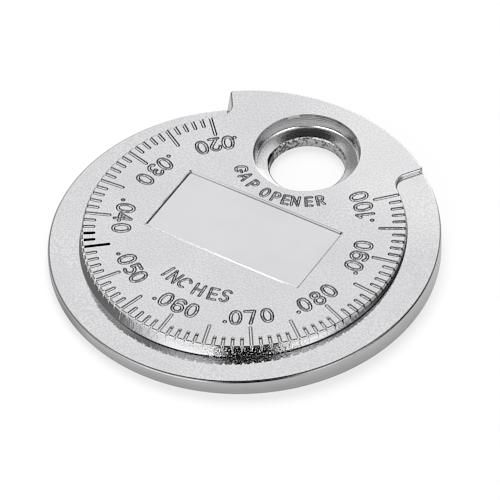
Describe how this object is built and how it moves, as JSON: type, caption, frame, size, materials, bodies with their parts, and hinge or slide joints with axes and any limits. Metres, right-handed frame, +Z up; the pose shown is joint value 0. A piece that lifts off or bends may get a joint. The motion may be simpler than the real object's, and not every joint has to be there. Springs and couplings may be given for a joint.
{
  "type": "spark plug gap gauge",
  "caption": "Coin-shaped gap gauge: chrome-plated disc with a raised graduated dial, a rim that thickens steadily round its edge, and a stepped hole for bending an electrode.",
  "frame": {"origin": "centre of the disc on its flat underside", "axes": "+Z up out of the dial, +Y from the centre to the stepped hole, +X along the long side of the recessed panel"},
  "size_m": [0.038, 0.038, 0.003],
  "materials": {
    "chrome_plate": "bright chrome plate over a zinc die casting, faint cast texture"
  },
  "bodies": {
    "root": {"gauge_disc": "chrome_plate"}
  },
  "joints": []
}
